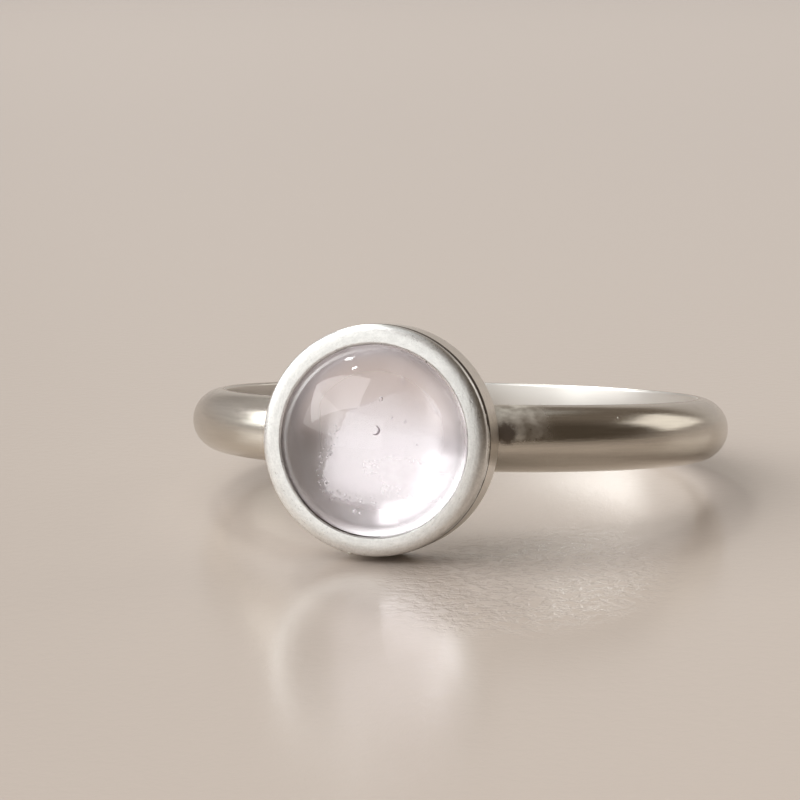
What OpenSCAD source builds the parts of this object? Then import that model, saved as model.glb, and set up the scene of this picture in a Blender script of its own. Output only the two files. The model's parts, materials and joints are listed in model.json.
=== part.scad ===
// A band ring with one round cabochon in a plain bezel, in millimetres.
// It lies on its side as it comes to rest by itself: the back of the band and
// the lower back edge of the bezel's cup touch the surface, so the finger hole
// leans back. The origin is on that surface, under the middle of the ring's box.

/* [Band] */
// Inside diameter of the band, the finger size
finger_d = 16.9; // [14:0.1:22]
// Width of the half-round wire across the band
band_w = 2.2; // [1.6:0.1:3]
// Distance from the finger hole's wall out to the middle of the wire
wire_offset = 0.06; // [0.02:0.01:0.3]

/* [Bezel] */
// Outer diameter of the bezel's cup and collar
bezel_d = 7.36; // [6.8:0.02:9]
// Inner diameter of the bezel, round the stone
opening_d = 6.12; // [6.1:0.02:6.8]
// Height of the cup, from the band to the seam
cup_h = 1.38; // [1.2:0.02:3]
// Thickness of the cup's floor
floor_t = 0.85; // [0.3:0.05:1.1]
// Height of the collar, from the seam to the front
collar_h = 0.38; // [0.34:0.02:1]
// Radius of the collar's rounded outer edge
collar_round = 0.24; // [0.1:0.02:0.28]
// Bevel on the edges of the cup and at the seam
edge_bevel = 0.06; // [0.02:0.01:0.1]
// How deep the cup's floor is soldered onto the crown of the band
solder_depth = 0.06; // [0.04:0.01:0.2]
// Length of the solder seat along the band
seat_l = 4.8; // [3:0.1:5.4]
// Width of the solder seat across the band
seat_w = 1.6; // [1:0.1:2]

/* [Cabochon] */
// Diameter of the stone
stone_d = 6; // [5:0.1:6.1]
// Height of the dome above the stone's edge
dome_h = 1.9; // [0.8:0.1:2.5]
// How far the stone's edge lies below the collar's front face
stone_sink = 0.1; // [0:0.05:0.5]

/* [Hidden] */
$fn = 96;

// Gap between two pieces that only lie against each other
play = 0.03;
// How far a cutting shape runs past what it cuts
overshoot = 1;

finger_r = finger_d/2;
wire_r = band_w/2;
wire_ring_r = finger_r + wire_offset;
band_r = wire_ring_r + wire_r;
bezel_r = bezel_d/2;
opening_r = opening_d/2;
stone_r = stone_d/2;

// Distances from the ring's centre, along the bezel's axis, from back to front
cup_back = band_r - solder_depth;
seam_at = cup_back + cup_h;
front_at = seam_at + play + collar_h;
stone_back = cup_back + floor_t + play;
stone_edge = front_at - stone_sink;
dome_r = (pow(stone_r, 2) + pow(dome_h, 2))/(2*dome_h);
dome_centre = stone_edge + dome_h - dome_r;
seat_back = wire_ring_r + wire_r/4;

// How the ring rests: the cup's lower back corner and the band's back share one level
rest_span = cup_back + edge_bevel + wire_ring_r;
rest_corner = bezel_r;
tilt = acos(wire_r/norm([rest_corner, rest_span])) - atan2(rest_span, rest_corner);
rest_z = wire_ring_r*sin(tilt) + wire_r;
box_front = -dome_centre*cos(tilt) - dome_r;
box_back = wire_ring_r*cos(tilt) + wire_r;
box_middle = (box_front + box_back)/2;

// Turns the ring from its own plane to the way it rests
module at_rest() {
    translate([0, -box_middle, rest_z]) rotate([-tilt, 0, 0]) children();
}

// Turns a shape that stands on +Z to the bezel's axis
module on_bezel_axis() {
    rotate([90, 0, 0]) children();
}

// Half-round wire bent to a closed band, with a plain round finger hole
module band() {
    difference() {
        rotate_extrude() translate([wire_ring_r, 0]) circle(r = wire_r);
        cylinder(r = finger_r, h = band_w + overshoot, center = true);
    }
}

// Round cup with a flat floor and a thick wall
module cup() {
    on_bezel_axis() translate([0, 0, cup_back]) rotate_extrude()
        polygon([
            [0, 0],
            [bezel_r - edge_bevel, 0],
            [bezel_r, edge_bevel],
            [bezel_r, cup_h - edge_bevel],
            [bezel_r - edge_bevel, cup_h],
            [opening_r, cup_h],
            [opening_r, floor_t],
            [0, floor_t],
        ]);
}

// Solder that fills the wedge between the cup's flat back and the round band
module solder_seat() {
    seat_front = cup_back + floor_t/2;
    translate([-seat_l/2, -seat_front, -seat_w/2])
        cube([seat_l, seat_front - seat_back, seat_w]);
}

module shank_and_cup() {
    color("silver") at_rest() union() {
        band();
        cup();
        solder_seat();
    }
}

// Flat ring that frames the stone, round on its outer front edge
module collar_section() {
    flat_r = bezel_r - collar_round;
    polygon([
        [opening_r, 0],
        [bezel_r - edge_bevel, 0],
        [bezel_r, edge_bevel],
        [bezel_r, collar_h - collar_round],
        [flat_r, collar_h - collar_round],
        [flat_r, collar_h],
        [opening_r, collar_h],
    ]);
    translate([flat_r, collar_h - collar_round]) intersection() {
        circle(r = collar_round);
        square(collar_round);
    }
}

module bezel_collar() {
    color("gainsboro") at_rest() on_bezel_axis()
        translate([0, 0, seam_at + play]) rotate_extrude() collar_section();
}

// Round domed stone, flat at the back
module cabochon() {
    color("pink", 0.6) at_rest() on_bezel_axis() intersection() {
        translate([0, 0, dome_centre]) sphere(r = dome_r);
        translate([0, 0, stone_back]) cylinder(r = stone_r, h = stone_edge + dome_h - stone_back);
    }
}

shank_and_cup();
bezel_collar();
cabochon();
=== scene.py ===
import json
from math import atan2, cos, pi, radians, sin

import bmesh
import bpy
from mathutils import Matrix, Vector


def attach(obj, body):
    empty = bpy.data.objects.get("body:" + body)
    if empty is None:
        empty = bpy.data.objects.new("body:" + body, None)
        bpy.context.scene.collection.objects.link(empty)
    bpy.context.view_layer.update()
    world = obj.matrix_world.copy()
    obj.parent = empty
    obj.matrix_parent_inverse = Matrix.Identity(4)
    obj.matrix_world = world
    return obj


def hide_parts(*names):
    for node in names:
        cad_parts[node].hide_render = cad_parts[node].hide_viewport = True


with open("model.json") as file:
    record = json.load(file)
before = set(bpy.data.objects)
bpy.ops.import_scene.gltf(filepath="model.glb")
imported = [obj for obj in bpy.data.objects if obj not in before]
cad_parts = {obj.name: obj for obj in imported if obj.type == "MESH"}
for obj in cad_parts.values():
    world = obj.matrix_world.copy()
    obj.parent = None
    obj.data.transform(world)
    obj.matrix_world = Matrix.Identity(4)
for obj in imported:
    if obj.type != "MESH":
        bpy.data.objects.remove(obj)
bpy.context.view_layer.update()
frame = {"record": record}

# Band: half-round silver wire bent to a closed ring, flat on the finger's side and round outside.
# It is rubbed to a satin finish along its length, and the sharp edges of the flat side are broken.
# The ring lies on the band's back and on the bezel, so the finger hole leans back.
hole = frame["record"]["mounts"][0]
lean = atan2(hole["axis"][1], hole["axis"][2])
in_ring = (Matrix.Translation(hole["pos_m"]) @ Matrix.Rotation(-lean, 4, "X")
           @ Matrix.Scale(0.001, 4))
finger_r = hole["dims"]["r_mm"]
wire_r, wire_offset = 1.1, 0.06
wire_ring_r = finger_r + wire_offset
wire_edge_z = hole["dims"]["length_mm"]/2
broken_edge = 0.10


def outline(points, closed=True):
    """A thin outline in the XZ plane, from (radius, height) points in millimetres."""
    bm = bmesh.new()
    verts = [bm.verts.new((r, 0, z)) for r, z in points]
    for pair in zip(verts, verts[1:] + verts[:1] if closed else verts[1:]):
        bm.edges.new(pair)
    return bm


def turn(bm, steps=360):
    """Spins the outline once round +Z to a closed shell."""
    bmesh.ops.spin(bm, geom=bm.verts[:] + bm.edges[:], cent=(0, 0, 0), axis=(0, 0, 1),
                   angle=2*pi, steps=steps, use_merge=True)
    bmesh.ops.remove_doubles(bm, verts=bm.verts, dist=1e-4)
    bmesh.ops.recalc_face_normals(bm, faces=bm.faces)


def soften(bm, radius, height, offset, segments=4):
    """Rounds the round edge that runs at this radius and height."""
    def on_edge(v):
        return abs(v.co.xy.length - radius) < 1e-3 and abs(v.co.z - height) < 1e-3

    edges = [e for e in bm.edges if on_edge(e.verts[0]) and on_edge(e.verts[1])]
    bmesh.ops.bevel(bm, geom=edges, offset=offset, segments=segments, profile=0.5,
                    affect="EDGES", material=-1)


def finish_piece(name, bm, material, place=in_ring):
    """Makes the object, with its place in its mesh, and fixes it to the ring."""
    bmesh.ops.transform(bm, matrix=place, verts=bm.verts)
    mesh = bpy.data.meshes.new(name)
    bm.to_mesh(mesh)
    bm.free()
    mesh.shade_smooth()
    mesh.materials.append(material)
    piece = bpy.data.objects.new(name, mesh)
    bpy.context.scene.collection.objects.link(piece)
    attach(piece, "root")
    return piece


class Socket:
    """One output of a shader node. Arithmetic on it adds the Math nodes."""

    def __init__(self, shader, output):
        self.shader, self.output = shader, output

    def maths(self, operation, *values):
        return self.shader.node("Math", {"operation": operation}, dict(enumerate(values)))

    def hypot(self, other):
        return self.maths("SQRT", self*self + other*other)

    def __add__(self, other):
        return self.maths("ADD", self, other)

    def __sub__(self, other):
        return self.maths("SUBTRACT", self, other)

    def __rsub__(self, other):
        return self.maths("SUBTRACT", other, self)

    def __mul__(self, other):
        return self.maths("MULTIPLY", self, other)

    __radd__, __rmul__ = __add__, __mul__


class Shader:
    """A material, or the world, and the nodes that make it up."""

    def __init__(self, owner):
        owner.use_nodes = True
        self.owner, self.tree = owner, owner.node_tree
        self.tree.nodes.clear()

    def node(self, kind, settings=(), sockets=(), out=0):
        """Adds one node, fills its inputs and gives one of its outputs."""
        made = self.tree.nodes.new("ShaderNode" + kind)
        for key, value in dict(settings).items():
            setattr(made, key, value)
        for key, value in dict(sockets).items():
            if isinstance(value, Socket):
                self.tree.links.new(value.output, made.inputs[key])
            elif isinstance(value, tuple) and made.inputs[key].type == "RGBA":
                made.inputs[key].default_value = (*value, 1)
            else:
                made.inputs[key].default_value = value
        return Socket(self, made.outputs[out]) if made.outputs else made

    def mix(self, factor, a, b):
        return self.node("Mix", {"data_type": "RGBA"}, {0: factor, 6: a, 7: b}, out=2)

    def noise(self, vector, scale, detail=2.0, roughness=0.5):
        return self.node("TexNoise", {}, {"Vector": vector, "Scale": scale, "Detail": detail,
                                          "Roughness": roughness})

    def between(self, value, low, high):
        """Rises smoothly from 0 at low to 1 at high, or falls where low is the larger."""
        return self.node("MapRange", {"interpolation_type": "SMOOTHSTEP"},
                         {"Value": value, "From Min": low, "From Max": high})

    def axes(self, place):
        """The x, y and z of a place."""
        parts = self.node("SeparateXYZ", {}, {0: place}).output.node.outputs
        return [Socket(self, part) for part in parts]

    def in_millimetres(self):
        """The place on the piece, in the ring's own plane, with the finger hole's axis as Z."""
        at = self.node("TexCoord", out=3)
        from_middle = self.node("VectorMath", {"operation": "SUBTRACT"},
                                {0: at, 1: tuple(hole["pos_m"])})
        return self.node("Mapping", {}, {"Vector": from_middle, "Rotation": (lean, 0, 0),
                                         "Scale": (1000, 1000, 1000)})

    def bsdf(self, **sockets):
        named = {key.replace("_", " "): value for key, value in sockets.items()}
        surface = self.node("BsdfPrincipled", {}, named)
        self.node("OutputMaterial", {}, {"Surface": surface})
        return self.owner


def satin_silver(name, along, base_roughness, tone, marks=1.0, inside=None, wear_and_shade_at=None):
    """Rubbed silver. The fine scratches run the long way of `along`, a stretched place.

    `inside` is a tone for a wall that stays bright, and what gives its mask and roughness.
    The last argument gives masks: where the silver is dark, with a stain on the band and painted
    shade in the cup, and where it is matt.
    """
    s = Shader(bpy.data.materials.new(name))
    place = s.in_millimetres()
    scratch = s.noise(along(s, place), 1.0, 4.0, 0.65)
    speckle = s.noise(place, 16.0, 2.0, 0.6)
    cloud = s.noise(place, 0.9, 3.0, 0.55)
    stain = s.between(s.noise(place, 1.7, 4.0, 0.6), 0.55, 0.8)
    worn = scratch*0.6 + speckle*0.4
    dull_tone = tuple((1 - 0.10*marks)*c for c in tone)
    stained_tone = tuple(0.88*c for c in tone)
    colour = s.mix(s.between(worn, 0.35, 0.65), dull_tone, tone)
    colour = s.mix(stain, colour, stained_tone)
    rough = base_roughness + 0.10*(cloud - 0.5) + 0.16*(worn - 0.5) + 0.04*stain
    if inside:
        inner_tone, where = inside
        mask, inner_roughness = where(s, place)
        colour = s.mix(mask, colour, inner_tone)
        worn = worn*(1 - mask)
        rough = rough*(1 - mask) + inner_roughness*mask
    if wear_and_shade_at:
        stain_and_shade, matt = wear_and_shade_at(s, place)
        # This dark colour is a stain on the band and painted shade on the left of the cup's inside.
        dark_stain_and_shade = (0.20, 0.165, 0.135)
        blotch = s.between(s.noise(place, 3.0, 4.0, 0.55), 0.30, 0.70)
        rubbed = s.mix(blotch, (0.56, 0.51, 0.44), (0.74, 0.69, 0.61))
        colour = s.mix(matt, colour, rubbed)
        colour = s.mix(stain_and_shade, colour, dark_stain_and_shade)
        rough = rough + 0.10*matt + 0.18*matt*blotch + 0.20*stain_and_shade
    bump = s.node("Bump", {}, {"Strength": 0.3*marks, "Distance": 2e-5, "Height": worn})
    return s.bsdf(Base_Color=colour, Metallic=1.0, Roughness=rough, Normal=bump)


def round_the_band(s, place):
    """Scratches that run with the wire: long in angle, short in height and radius."""
    x, y, z = s.axes(place)
    angle = x.maths("ARCTAN2", x, y)
    return s.node("CombineXYZ", {}, {0: angle*6.0, 1: z*14.0, 2: x.hypot(y)*14.0})


def finger_wall(s, place):
    """1 on the inside of the band, which wear has evened out, and its roughness."""
    x, y, z = s.axes(place)
    return s.between(x.hypot(y), finger_r + 0.10, finger_r + 0.03), 0.33


def by_the_joint(s, place):
    """A dark stain on the band to the right of the cup, and the matt silver that follows it.

    Both masks go through the wire, so they also mark the finger's side of the band there.
    """
    stain_angle, stain_z = 0.395, 0.22
    x, y, z = s.axes(place)
    angle = x.maths("ARCTAN2", x, y*-1.0)
    ragged = s.noise(place, 3.0, 4.0, 0.65)
    across, up = (angle - stain_angle)*20.0, (z - stain_z)*2.7
    stain_and_shade = s.between(across.hypot(up) + 1.3*(ragged - 0.5), 1.15, 0.55)
    matt = s.between(angle + 0.16*(ragged - 0.5), 0.585, 0.515)*s.between(z + 0.3*ragged, 0.05, 0.3)
    return stain_and_shade, matt*s.between(angle, 0.30, 0.40)*s.between(y, 0.0, -1.0)


band_silver = satin_silver("band silver", round_the_band, 0.19, (0.62, 0.58, 0.51),
                           inside=((0.72, 0.69, 0.65), finger_wall), wear_and_shade_at=by_the_joint)

band_shape = outline([(finger_r, -wire_edge_z)], closed=False)
bmesh.ops.spin(band_shape, geom=band_shape.verts[:], cent=(wire_ring_r, 0, 0), axis=(0, -1, 0),
               angle=pi + 2*atan2(wire_offset, wire_edge_z), steps=40)
band_shape.verts.ensure_lookup_table()
band_shape.edges.new((band_shape.verts[0], band_shape.verts[-1]))
turn(band_shape)
for side in (-1, 1):
    soften(band_shape, finger_r, side*wire_edge_z, broken_edge)
band = finish_piece("band", band_shape, band_silver)
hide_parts("shank_and_cup")

# Cup: the back of the bezel, a round silver box with a thick wall, soldered to the band's crown.
# Its wall is filed round and its open front carries the collar, with a fine seam between them.
# Its inside shows through the stone: bright, matt towards the wall, and darkened on the left with
# painted shade.
bezel_r, opening_r = 3.68, 3.06
cup_back, floor_t, seam_at = 9.55, 0.85, 10.93
cup_floor = cup_back + floor_t
back_bevel, floor_bevel, seam_bevel, edge_row = 0.10, 0.15, 0.19, 0.20
on_axis = in_ring @ Matrix.Rotation(pi/2, 4, "X")


def round_the_bezel(s, place):
    """Scratches that run round the bezel's axis, which is the ring's -Y."""
    x, y, z = s.axes(place)
    angle, radius = x.maths("ARCTAN2", z, x), x.hypot(z)
    return s.node("CombineXYZ", {}, {0: angle*14.0 + radius*4.0, 1: y*14.0, 2: radius*12.0})


def cup_inside(s, x, y, z):
    """1 on the cup's floor and inner wall, and 0 on its outside."""
    near_axis = s.between(x.hypot(z), opening_r + 0.05, opening_r + 0.02)
    return near_axis*s.between(y, -cup_back - 0.2, -cup_back - 0.3)


def under_the_stone(s, place):
    """The cup's inside, which stays bright, and its roughness, more towards the wall."""
    x, y, z = s.axes(place)
    return cup_inside(s, x, y, z), 0.27 + 0.35*s.between(x.hypot(z), 1.6, 2.4)


def shade_left_of_floor(s, place):
    """Painted shade in the cup on the left, which darkens the stone there. None of it is matt."""
    x, y, z = s.axes(place)
    left = s.between(-0.99*x - 0.10*z, 1.2, 2.4)*s.between(z, -1.9, -1.1)
    return 0.6*left*cup_inside(s, x, y, z), 0.0


cup_silver = satin_silver("cup silver", round_the_bezel, 0.34, (0.82, 0.775, 0.71), 1.8,
                          inside=((0.95, 0.945, 0.94), under_the_stone), wear_and_shade_at=shade_left_of_floor)
cup_shape = outline([
    (0, cup_back), (2.0, cup_back), (bezel_r, cup_back), (bezel_r, cup_back + edge_row),
    (bezel_r, seam_at - edge_row), (bezel_r, seam_at), (opening_r, seam_at),
    (opening_r, cup_floor), (0, cup_floor),
], closed=False)
turn(cup_shape)
soften(cup_shape, bezel_r, cup_back, back_bevel)
soften(cup_shape, bezel_r, seam_at, seam_bevel)
soften(cup_shape, opening_r, cup_floor, floor_bevel)
finish_piece("cup", cup_shape, cup_silver, place=on_axis)

# Solder between the cup's flat back and the band's crown: it has run to a hollow fillet all
# round the joint, a little blotchy and duller than the silver.
reach, fillet, overlap = 0.30, 0.30, 0.02
foot_at = cup_back - reach
root_share, root_depth, search_r = 0.8, 0.25, 3.2
fillet_rows, joint_steps = 10, 96


def band_height(x, z):
    """How far the band's outside lies from the finger hole's axis plane at x, at height z."""
    return ((wire_ring_r + (wire_r**2 - z**2)**0.5)**2 - x**2)**0.5


def joint_edge(angle):
    """Where the solder ends on the band at this angle round the joint, seen along the axis."""
    low, high = 0.0, search_r
    while high - low > 1e-4:
        r = (low + high)/2
        x, z = r*cos(angle), r*sin(angle)
        on_band = abs(z) < wire_r and band_height(x, z) > foot_at
        low, high = (r, high) if on_band else (low, r)
    return Vector((low*cos(angle), low*sin(angle)))


solder_silver = satin_silver("solder", round_the_bezel, 0.33, (0.60, 0.565, 0.50))
solder_shape = bmesh.new()
joint = [joint_edge(2*pi*k/joint_steps) for k in range(joint_steps)]
rows = []
for k, edge in enumerate(joint):
    run = joint[(k + 1) % joint_steps] - joint[k - 1]
    outward = Vector((run.y, -run.x)).normalized()
    row = [solder_shape.verts.new((*(edge*root_share), foot_at - root_depth))]
    for i in range(fillet_rows + 1):
        turned = pi/2*i/fillet_rows
        at = edge + outward*fillet*(1 - cos(turned))
        row.append(solder_shape.verts.new((*at, foot_at + (reach + overlap)*sin(turned))))
    rows.append(row)
for k in range(joint_steps):
    for i in range(fillet_rows + 1):
        a, b = rows[k - 1], rows[k]
        solder_shape.faces.new((a[i], b[i], b[i + 1], a[i + 1]))
for end in (0, -1):
    solder_shape.faces.new([row[end] for row in rows])
bmesh.ops.recalc_face_normals(solder_shape, faces=solder_shape.faces)
finish_piece("solder", solder_shape, solder_silver, place=on_axis)

# Bezel collar: the ring that frames the stone, soldered on the cup's front and filed flat
# round the stone, from where it rolls over to the bezel's side. Its inner edge is crisp, and the
# file has taken a little more off its right side.
seam_gap, collar_bevel, inner_bevel = 0.03, 0.09, 0.05
collar_back, collar_front = seam_at + seam_gap, 11.34
inner_flat, roll_depth, roll_power, roll_steps = 3.11, 0.27, 0.66, 18
roll_width = bezel_r - inner_flat
inner_edge_at = collar_front - 0.01
filed_off, filed_side = 0.075, radians(8)

collar_silver = satin_silver("collar silver", round_the_bezel, 0.30, (0.85, 0.84, 0.81), 1.7)
rolled = [(inner_flat + roll_width*sin(t)**roll_power,
           collar_front - roll_depth*(1 - cos(t)**roll_power))
          for t in (pi/2*(k/roll_steps)**1.5 for k in range(roll_steps + 1))]
collar_shape = outline([(opening_r, collar_back), (bezel_r, collar_back)] + rolled[::-1]
                       + [(opening_r, inner_edge_at)])
turn(collar_shape)
soften(collar_shape, bezel_r, collar_back, collar_bevel)
soften(collar_shape, opening_r, inner_edge_at, inner_bevel, 3)
for v in collar_shape.verts:
    outwards = max(0, v.co.xy.length - inner_flat)/roll_width
    filed = max(0, cos(atan2(v.co.y, v.co.x) - filed_side))**1.3
    v.co.z -= filed_off*outwards*filed*(v.co.z - collar_back)/(collar_front - collar_back)
collar = finish_piece("collar", collar_shape, collar_silver, place=on_axis)
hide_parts("bezel_collar")

# Tarnish and painted shade: a dark line in the groove between collar and cup, on the cup's broken
# edge, old polish with painted shade of the groove, more of the same in the gap round the stone at
# the lower left, and a brown crumb in that gap at the upper right.


def grain(bm, place, size, seed=0, turned=0.0):
    """Adds one small uneven lump: an icosphere, squeezed to this size and roughened."""
    made = bmesh.ops.create_icosphere(bm, subdivisions=2, radius=1)["verts"]
    for v in made:
        v.co *= 1 + 0.12*sin(3*v.co.x + seed) + 0.10*sin(4*v.co.y + 2*seed)
    turned = Matrix.Rotation(radians(turned), 3, "Z").to_quaternion()
    bmesh.ops.transform(bm, matrix=Matrix.LocRotScale(place, turned, Vector(size)), verts=made)


def at_angle(degrees_round, radius, height):
    """A place by its angle round the bezel's axis from the right, its radius and its height."""
    a = radians(degrees_round)
    return Vector((radius*cos(a), radius*sin(a), height))


def spin_part(bm, first_angle, angle, steps):
    """Spins the outline part of the way round +Z and closes both ends."""
    first = bm.verts[:]
    bmesh.ops.rotate(bm, verts=first, cent=(0, 0, 0), matrix=Matrix.Rotation(first_angle, 3, "Z"))
    last = bmesh.ops.spin(bm, geom=bm.verts[:] + bm.edges[:], cent=(0, 0, 0), axis=(0, 0, 1),
                          angle=angle, steps=steps)["geom_last"]
    bm.faces.new(first)
    bm.faces.new([v for v in last if isinstance(v, bmesh.types.BMVert)])


# Dark colour: partly tarnish, partly painted shade of the groove and of the gap round the stone.
s = Shader(bpy.data.materials.new("tarnish"))
crust = s.noise(s.in_millimetres(), 5.0, 3.0)
tarnish = s.bsdf(Base_Color=s.mix(crust, (0.04, 0.03, 0.024), (0.13, 0.10, 0.08)), Roughness=0.8)
bevel_r, bevel_at, skin = bezel_r - seam_bevel, seam_at - seam_bevel, seam_bevel + 0.006
seam_shade_shape = outline([(bevel_r, bevel_at), (bezel_r - 0.02, bevel_at - 0.12)] + [
    (bevel_r + skin*cos(t), bevel_at + skin*sin(t)) for t in (radians(10*k) for k in range(10))])
turn(seam_shade_shape)
finish_piece("seam_tarnish", seam_shade_shape, tarnish, place=on_axis)

gap_in, gap_out, gap_from, gap_turn = 3.034, 3.056, radians(212), radians(62)
gap_shape = outline([(gap_in, 11.12), (gap_out, 11.12), (gap_out, 11.29), (3.042, 11.28),
                     (gap_in, 11.22)])
spin_part(gap_shape, gap_from, gap_turn, 62)
for v in gap_shape.verts:
    along = (atan2(v.co.y, v.co.x) % (2*pi) - gap_from)/gap_turn
    v.co.z -= 0.20*(2*along - 1)**4 + 0.012*sin(31*along) + 0.008*sin(67*along)
bmesh.ops.recalc_face_normals(gap_shape, faces=gap_shape.faces)
grain(gap_shape, at_angle(56.5, 3.045, 11.27), (0.02, 0.025, 0.03), 3)
finish_piece("gap_tarnish", gap_shape, tarnish, place=on_axis)

# Solder in the seam: it fills the groove between collar and cup nearly all the way round and
# leaves it open only at the upper right, where the two pieces stand slightly apart.
seam_in, seam_flush, seam_low = 3.45, bezel_r - 0.003, bezel_r - 0.012
filled_from, filled = radians(100), radians(276)
seam_shape = outline([
    (seam_in, seam_at - 0.05), (seam_low, seam_at - 0.23), (seam_flush, seam_at - 0.12),
    (seam_flush, seam_at + 0.015), (seam_low, collar_back + 0.10), (seam_in, collar_back + 0.04),
])
spin_part(seam_shape, filled_from, filled, 276)
for v in seam_shape.verts:
    along = (atan2(v.co.y, v.co.x) - filled_from) % (2*pi)
    to_end = min(along, filled - along) if along < filled else 0
    sunk = 0.09*max(0, 1 - to_end/0.25)**2 + 0.003*sin(23*along) + 0.003*sin(57*along + 1)
    v.co.xy *= 1 - sunk/v.co.xy.length
bmesh.ops.recalc_face_normals(seam_shape, faces=seam_shape.faces)
finish_piece("seam_solder", seam_shape, collar_silver, place=on_axis)

# Burrs: small lumps of solder and filing burrs left on the bezel's lower edge and at the seam,
# and one speck on the band's right arm.
speck_at, speck_r = Vector((6.904, 0.712, 6.305)), 0.035
burr_shape = bmesh.new()
for k, (round_at, radius, height, size) in enumerate([
        (258.5, 3.67, 11.16, (0.09, 0.05, 0.06)), (254.0, 3.665, 11.12, (0.05, 0.04, 0.05)),
        (14.0, 3.655, 10.95, (0.03, 0.07, 0.05)), (5.0, 3.655, 10.93, (0.03, 0.06, 0.05)),
        (-3.0, 3.65, 10.90, (0.04, 0.09, 0.07)), (19.0, 3.65, 10.97, (0.025, 0.04, 0.03))]):
    grain(burr_shape, at_angle(round_at, radius, height), size, k)
grain(burr_shape, speck_at, (speck_r, speck_r, speck_r), 2)
finish_piece("burrs", burr_shape, solder_silver, place=on_axis)

# Cabochon: a clear, pale pink quartz cut to a dome with a flat back, held in the bezel.
# Its edge is ground off narrowly where the dome meets the straight, matt girdle.
stone_r, stone_back, stone_edge, dome_h = 3.03, 10.43, 11.24, 1.9
dome_r = (stone_r**2 + dome_h**2)/(2*dome_h)
dome_middle = stone_edge + dome_h - dome_r
edge_bevel, girdle_bevel = 0.04, 0.12

s = Shader(bpy.data.materials.new("pink quartz"))
place = s.in_millimetres()
x, y, z = s.axes(place)
matt_girdle = s.between(x.hypot(z), stone_r - 0.03, stone_r - 0.01)
rosy = s.between(s.noise(place, 0.8), 0.35, 0.65)
quartz = s.bsdf(Base_Color=s.mix(rosy, (0.99, 0.962, 0.980), (0.982, 0.950, 0.970)),
                Roughness=0.4*matt_girdle, IOR=1.54, Specular_IOR_Level=0.8,
                Transmission_Weight=1.0)
stone_shape = outline([(stone_r, stone_edge)], closed=False)
bmesh.ops.spin(stone_shape, geom=stone_shape.verts[:], cent=(0, 0, dome_middle), axis=(0, -1, 0),
               angle=pi/2 - atan2(stone_edge - dome_middle, stone_r), steps=48)
stone_shape.verts.ensure_lookup_table()
girdle = stone_shape.verts[0]
below = [stone_shape.verts.new((r, 0, stone_back)) for r in (stone_r, 0)]
stone_shape.edges.new((girdle, below[0]))
stone_shape.edges.new(below)
turn(stone_shape)
soften(stone_shape, stone_r, stone_edge, edge_bevel, 3)
soften(stone_shape, stone_r, stone_back, girdle_bevel, 3)
stone = finish_piece("stone", stone_shape, quartz, on_axis)
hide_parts("cabochon")

# Crescent flaw: a small flaw high in the quartz near its middle, curved like a new moon. It grew
# with the crystal and shows a little darker than what is round it.
flaw_r, flaw_across, flaw_deep, flaw_turn = 0.13, 0.035, 0.02, radians(220)


def in_stone(right, up, height):
    """A place in the stone as seen from the front, right and up from its middle, in mm."""
    return Vector((right, up, height))


s = Shader(bpy.data.materials.new("flaw"))
mottle = s.noise(s.in_millimetres(), 6.0)
flaw = s.bsdf(Base_Color=s.mix(mottle, (0.60, 0.50, 0.56), (0.74, 0.65, 0.70)), Roughness=0.4)
crescent = bmesh.new()
profile = [crescent.verts.new((flaw_r + flaw_across*cos(t), 0, flaw_deep*sin(t)))
           for t in (2*pi*k/10 for k in range(10))]
crescent.faces.new(profile)
bmesh.ops.spin(crescent, geom=crescent.faces[:], cent=(0, 0, 0), axis=(0, 0, 1),
               angle=flaw_turn, steps=28)
for v in crescent.verts:
    along = (atan2(v.co.y, v.co.x) % (2*pi))/flaw_turn
    thick = max(0.12, sin(pi*min(max(along, 0), 1)))
    middle = v.co.xy.normalized()*flaw_r
    v.co.xy = middle + (v.co.xy - middle)*thick
    v.co.z *= thick
bmesh.ops.rotate(crescent, verts=crescent.verts, cent=(0, 0, 0),
                 matrix=Matrix.Rotation(radians(-130), 3, "Z"))
bmesh.ops.translate(crescent, verts=crescent.verts, vec=in_stone(0.45, 0.42, 12.6))
bmesh.ops.recalc_face_normals(crescent, faces=crescent.faces)
finish_piece("crescent_flaw", crescent, flaw, on_axis)

# White grains: a few small white lumps, under a tenth of a millimetre wide, in the quartz on its
# left, where the milky veil ends. Their white is a painted highlight, standing in for glints there.
s = Shader(bpy.data.materials.new("white grains"))
sheen = s.noise(s.in_millimetres(), 9.0)
# Painted highlight: this white stands in for glints.
white = s.bsdf(Base_Color=s.mix(sheen, (0.98, 0.96, 0.98), (0.90, 0.86, 0.90)), Roughness=0.3)
grains = bmesh.new()
for k, (right_of, above, size) in enumerate([
        (-1.30, -0.45, 0.035), (-1.34, -0.66, 0.025), (-1.27, -1.02, 0.04), (-1.15, -1.10, 0.045),
        (-1.36, -1.32, 0.025), (-1.06, -0.36, 0.04), (-1.12, -0.28, 0.025),
        (-0.98, -1.48, 0.03)]):
    grain(grains, in_stone(right_of, above, 11.1 + 0.2*sin(5*k)), (size, size*0.9, size), k)
finish_piece("white_grains", grains, white, on_axis)

# Gas bubbles: tiny hollows in the quartz, trapped in a loose line along the left and lower edge
# of the milky veil, with six larger ones by themselves. They bend light as a gas in quartz does.
bubble_count, golden_step = 84, 0.618034

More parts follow.
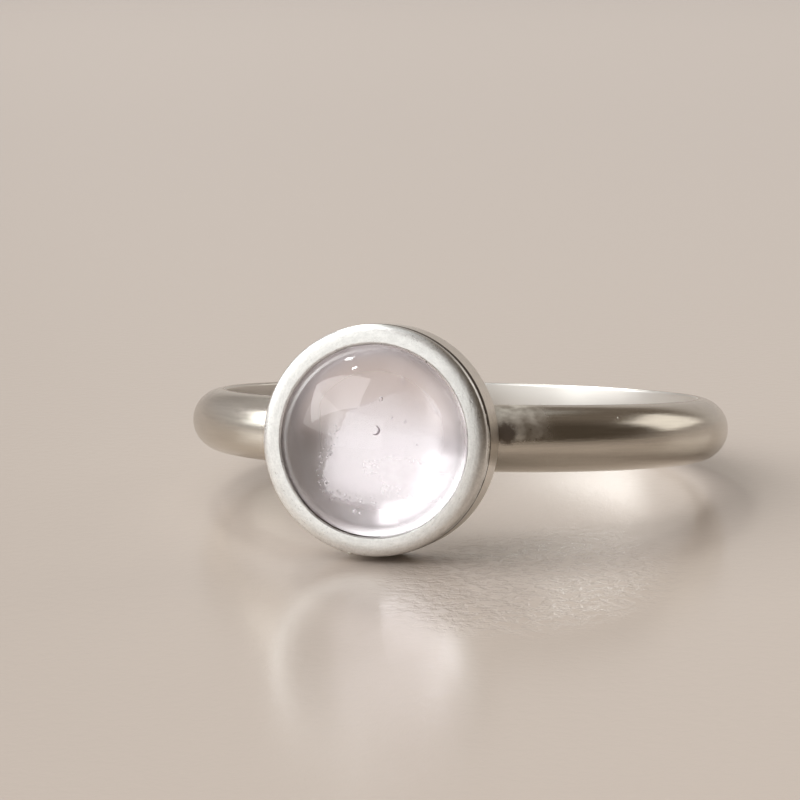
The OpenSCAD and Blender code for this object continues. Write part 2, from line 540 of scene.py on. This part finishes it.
s = Shader(bpy.data.materials.new("gas bubbles"))
mottle = s.noise(s.in_millimetres(), 9.0)
gas = s.bsdf(Base_Color=s.mix(mottle, (1.0, 0.97, 0.99), (0.95, 0.90, 0.93)), Roughness=0.05,
             IOR=0.65, Transmission_Weight=1.0)
bubbles = bmesh.new()
bubble_line = [(-0.80, 0.45), (-1.03, 0.09), (-1.08, -0.19), (-1.24, -0.47), (-1.30, -0.75),
               (-1.27, -1.16), (-1.08, -1.39), (-0.85, -1.44), (-0.53, -1.47), (-0.19, -1.50),
               (0.20, -1.60)]
for k in range(bubble_count):
    along = golden_step*k % 1*(len(bubble_line) - 1)
    step = int(along)
    middle = Vector(bubble_line[step]).lerp(Vector(bubble_line[step + 1]), along - step)
    size = 0.010 + 0.024*abs(sin(5.3*k))**3
    grain(bubbles, in_stone(middle.x + 0.12*sin(12.9*k), middle.y + 0.11*sin(7.7*k + 1),
                            11.15 + 0.3*sin(3.1*k)), (size, size, size), k)
for right_of, above, size in [(0.25, 1.10, 0.06), (0.91, 0.54, 0.035), (1.25, -0.04, 0.03),
                              (-0.42, -1.88, 0.06), (-0.28, -1.93, 0.035), (0.55, 0.62, 0.03)]:
    grain(bubbles, in_stone(right_of, above, 11.2), (size, size, size), 2)
finish_piece("gas_bubbles", bubbles, gas, on_axis)

# Milky veil: a thin sheet of cloud low in the quartz, under its middle and lower right, with a
# ragged edge. It is partly clear, and it emits a little light: a painted glow in place of what it
# scatters, made denser on its lit lower right.
veil_at, veil_t = 10.60, 0.02
veil_right, veil_up = 0.05, -0.08

s = Shader(bpy.data.materials.new("veil"))
place = s.in_millimetres()
x, y, z = s.axes(place)
wisps = s.between(s.noise(place, 1.6, 5.0, 0.6), 0.30, 0.70)
thick = s.between(0.6*x + 0.8*z, 1.8, -0.3)
lit_side = s.between(0.5*x - 0.87*z, -0.6, 1.8)*s.between(0.3*x + z, -1.7, -0.4)
milk_tone = s.mix(wisps, (0.98, 0.945, 0.965), (0.99, 0.98, 0.985))
# Painted light: the emission stands in for scattered light, and the lit side makes it denser.
milk_glow = s.bsdf(Base_Color=milk_tone, Roughness=0.6, Specular_IOR_Level=0.0,
              Emission_Color=milk_tone, Emission_Strength=0.42,
              Alpha=thick*(0.16 + 0.06*wisps + 0.16*lit_side))
veil_line = [(-0.77, 0.72), (-0.87, 0.39), (-1.03, 0.09), (-1.08, -0.19), (-1.24, -0.47),
             (-1.32, -0.70), (-1.27, -1.10), (-1.06, -1.30), (-0.53, -1.40), (0.00, -1.50),
             (0.28, -1.75), (0.60, -2.05), (1.25, -2.20), (1.83, -1.80), (2.23, -1.16),
             (2.41, -0.27), (2.23, 0.62), (1.70, 1.26), (1.04, 1.44), (0.34, 1.21),
             (-0.48, 0.82)]
ragged_line = []
for k, (start_at, end_at) in enumerate(zip(veil_line, veil_line[1:] + veil_line[:1])):
    for j in range(6):
        at = Vector(start_at).lerp(Vector(end_at), j/6)
        out = 1 + 0.015*sin(6*k + 1.9*j) + 0.012*sin(14.6*k + 2.7*j)
        ragged_line.append((at.x*out + veil_right, at.y*out + veil_up,
                            veil_at + 0.02*sin(1.5*at.x + at.y)))
veil = bmesh.new()
veil.faces.new([veil.verts.new(at) for at in ragged_line])
raised = bmesh.ops.extrude_face_region(veil, geom=veil.faces[:], use_keep_orig=True)["geom"]
bmesh.ops.translate(veil, verts=[v for v in raised if isinstance(v, bmesh.types.BMVert)],
                    vec=(0, 0, veil_t))
bmesh.ops.recalc_face_normals(veil, faces=veil.faces)
caps = [f for f in veil.faces if len(f.verts) > 4]
bmesh.ops.inset_individual(veil, faces=caps, thickness=0.015)
finish_piece("milky_veil", veil, milk_glow, on_axis)

# Feather: a narrow crack in the quartz at the upper right that healed as the crystal grew. It
# emits a little light, a painted glow in place of the light it catches.
s = Shader(bpy.data.materials.new("feather"))
wisps = s.between(s.noise(s.in_millimetres(), 3.0, 4.0, 0.6), 0.30, 0.70)
light = s.mix(wisps, (0.95, 0.91, 0.92), (0.99, 0.97, 0.98))
# Painted light: the emission stands in for the light the crack catches.
crack_glow = s.bsdf(Base_Color=light, Roughness=0.5, Emission_Color=light, Emission_Strength=0.45,
                Alpha=0.10 + 0.16*wisps)
feather = bmesh.new()
grain(feather, in_stone(1.72, 1.10, 11.2), (0.55, 0.10, 0.012), 1, turned=-54)
finish_piece("feather", feather, crack_glow, on_axis)

# Edge haze: a thin cloudy ring in the quartz just over its back, near its edge, that paints light
# into the stone's edge. It is whitest on the lit lower right and brownish in its shade elsewhere,
# and its glow is painted light in place of what it scatters.
haze_in, haze_crest_r, haze_out = 2.05, 2.45, 2.86
haze_low, haze_top, haze_crest = 10.46, 10.475, 10.485

s = Shader(bpy.data.materials.new("edge haze"))
place = s.in_millimetres()
x, y, z = s.axes(place)
wisps = s.between(s.noise(place, 1.2, 4.0, 0.6), 0.30, 0.70)
lit_side = s.between(0.5*x - 0.87*z, 0.8, 2.1)
# Painted light and shade: white on the lit side, brown elsewhere.
cloud = s.mix(lit_side, (0.46, 0.40, 0.40), (0.99, 0.975, 0.985))
haze_glow = s.bsdf(Base_Color=cloud, Roughness=0.7, Specular_IOR_Level=0.0, Emission_Color=cloud,
              Emission_Strength=0.85,
              Alpha=s.between(x.hypot(z), 2.10, 2.50)*(0.05 + 0.06*wisps + 0.42*lit_side))
haze = outline([(haze_in, haze_low), (haze_out, haze_low), (haze_out, haze_top),
                (haze_crest_r, haze_crest), (haze_in, haze_top)])
turn(haze)
finish_piece("edge_haze", haze, haze_glow, on_axis)

# Table top: a wide, pale and softly glossy surface that the ring lies on. It is finely creased
# in one patch, on the right of the bezel's foot.
table_half = 20
patch_x, patch_y = 0.0052, -0.0105

s = Shader(bpy.data.materials.new("table top"))
place = s.node("TexCoord", out=3)
x, y, z = s.axes(place)
near_foot = s.between((x - patch_x).hypot((y - patch_y)*0.7), 0.0052, 0.0020)
wrinkles = s.noise(place, 2400.0, 4.0, 0.65)
creases = s.between(wrinkles, 0.38, 0.56)*(0.06 + 0.94*near_foot)
top = s.bsdf(Base_Color=s.mix(creases, (0.585, 0.507, 0.443), (0.600, 0.518, 0.452)),
             Roughness=0.18,
             Normal=s.node("Bump", {}, {"Strength": 0.5, "Distance": 5e-5, "Height": creases}))
table_shape = bmesh.new()
bmesh.ops.create_grid(table_shape, x_segments=1, y_segments=1, size=table_half)
table_mesh = bpy.data.meshes.new("table")
table_shape.to_mesh(table_mesh)
table_shape.free()
table_mesh.materials.append(top)
table = bpy.data.objects.new("table", table_mesh)
bpy.context.scene.collection.objects.link(table)

# Lights: a strip high on the left, two windows below it and a softbox behind on the right light
# the silver. Behind on the left, two small lamps make the sparks on the stone, and a larger one
# casts the shadow.
light_distance = 2


def direction(azimuth, elevation):
    """A unit vector: azimuth 0 is the side of the stone, 90 the right, elevation upwards."""
    a, e = radians(azimuth), radians(elevation)
    return Vector((sin(a)*cos(e), -cos(a)*cos(e), sin(e)))


def softbox(name, azimuth, elevation, width, height, radiance, colour, roll=0):
    """A rectangular light that faces the ring from light_distance, turned by roll degrees."""
    lamp = bpy.data.lights.new(name, "AREA")
    lamp.shape, lamp.size, lamp.size_y = "RECTANGLE", width, height
    lamp.energy, lamp.color = pi*width*height*radiance, colour
    light = bpy.data.objects.new(name, lamp)
    towards = direction(azimuth, elevation)
    light.location = light_distance*towards
    turned = towards.to_track_quat("Z", "Y").to_matrix() @ Matrix.Rotation(radians(roll), 3, "Z")
    light.rotation_euler = turned.to_euler()
    bpy.context.scene.collection.objects.link(light)


softbox("left strip", -68, 44.6, 2.25, 1.35, 2.7, (0.98, 0.98, 1.0), roll=43)
softbox("front window", -21, 16, 2.45, 1.42, 0.74, (0.96, 1.0, 1.0))
softbox("side window", -67, 22, 1.8, 0.95, 1.35, (0.96, 1.0, 1.0))
softbox("lamp 1", -104, 63, 0.11, 0.11, 30.0, (1.0, 1.0, 1.0))
softbox("lamp 2", -128, 50, 0.12, 0.22, 15.0, (1.0, 0.98, 0.98))
softbox("lamp 3", -150, 42, 0.24, 0.40, 25.0, (0.94, 1.0, 1.0))
softbox("right light", 130, 25, 1.2, 1.0, 1.1, (1.0, 0.97, 0.92))

# Room: dim and brown in front on the right, pale on the left and straight above, with a pale
# wall far behind the table.
room = bpy.data.worlds.new("room")
bpy.context.scene.world = room
s = Shader(room)
look = s.node("TexCoord", out=0)
x, y, z = s.axes(look)
bright, dark = direction(-70, 20), direction(62, 15)
towards_left = bright.x*x + bright.y*y + bright.z*z
towards_dark = dark.x*x + dark.y*y + dark.z*z
air = s.mix(s.between(towards_dark, 0.5, 0.9), (0.19, 0.155, 0.125), (0.090, 0.070, 0.052))
air = s.mix(s.between(towards_left, -0.2, 0.9), air, (0.58, 0.55, 0.54))
ceiling = s.between(z, 0.65, 1.0)*s.between(x, 0.27, 0.16)
air = s.mix(ceiling, air, (0.62, 0.62, 0.61))
far_side = s.between(y, -0.2, 0.7)*s.between(z, 0.3, 0.0)
air = s.mix(far_side, air, (0.52, 0.46, 0.42))
pale_wall = s.between(y, 0.82, 0.93)*s.between(z, 0.5, 0.35)
air = s.mix(pale_wall, air, (0.56, 0.51, 0.47))
background = s.node("Background", {}, {"Color": air, "Strength": 1.0})
s.node("OutputWorld", {}, {"Surface": background})

# Camera: the photograph's place, a little to the right of the stone and above the band's plane.
# The lens's axis meets the picture right of its middle and below it, as in a cropped picture.
picture_px, focal_px, sensor_mm = 800, 2343.7, 36
axis_x_px, axis_y_px = 460.62, 422.28
camera_right, camera_above, camera_roll, camera_distance = 14.08, 3.393, 1.204, 0.08477

camera_data = bpy.data.cameras.new("camera")
camera_data.lens, camera_data.sensor_width = focal_px/picture_px*sensor_mm, sensor_mm
camera_data.clip_start = 0.001
camera_data.shift_x = (picture_px/2 - axis_x_px)/picture_px
camera_data.shift_y = (axis_y_px - picture_px/2)/picture_px
away = direction(camera_right, camera_above)
right = Vector((cos(radians(camera_right)), sin(radians(camera_right)), 0))
right = Matrix.Rotation(radians(camera_roll), 3, away) @ right
turned = Matrix((right, away.cross(right), away)).transposed().to_4x4()
ring_turn = in_ring.to_3x3().normalized()
view_from = in_ring.to_translation() + (ring_turn @ away)*camera_distance
camera = bpy.data.objects.new("camera", camera_data)
camera.matrix_world = Matrix.Translation(view_from) @ ring_turn.to_4x4() @ turned
bpy.context.scene.collection.objects.link(camera)
bpy.context.scene.camera = camera
bpy.context.scene.view_settings.view_transform = "Standard"
